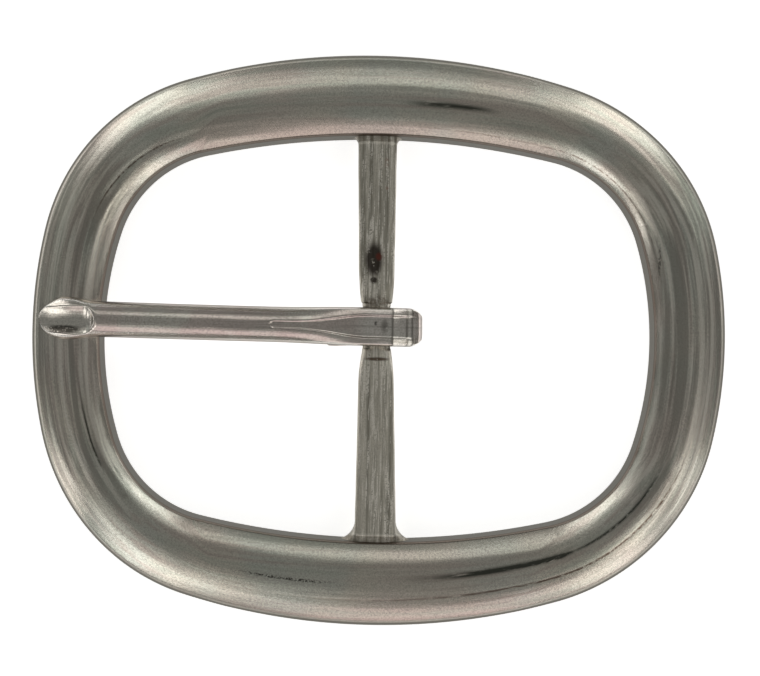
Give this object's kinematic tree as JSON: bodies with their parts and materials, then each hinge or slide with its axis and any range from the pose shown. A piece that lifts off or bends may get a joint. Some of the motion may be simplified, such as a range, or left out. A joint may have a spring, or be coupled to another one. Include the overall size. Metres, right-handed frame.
{
  "type": "belt buckle",
  "caption": "Oval centre-bar belt buckle: domed satin rim, necked strap bar and a hinged prong whose dished tip rests on the rim.",
  "frame": {"origin": "middle of the oval on the flat back face", "axes": "+X along the strap, away from the prong's tip; +Y along the centre bar; +Z out of the domed front"},
  "size_m": [0.0698, 0.0574, 0.0067],
  "materials": {
    "rim_nickel": "satin nickel plate on a zinc casting",
    "bar_nickel": "dull nickel plate with tarnish",
    "prong_nickel": "bright nickel plate, barrel polished"
  },
  "bodies": {
    "frame": {"frame_ring": "rim_nickel", "centre_bar": "bar_nickel"},
    "prong": {"prong": "prong_nickel"}
  },
  "joints": [
    {"name": "prong_hinge", "type": "hinge", "parent": "frame", "child": "prong", "pos_m": [0, 0.0012, 0.0022], "axis": [0, 1, 0], "range_deg": [0, 165]}
  ]
}
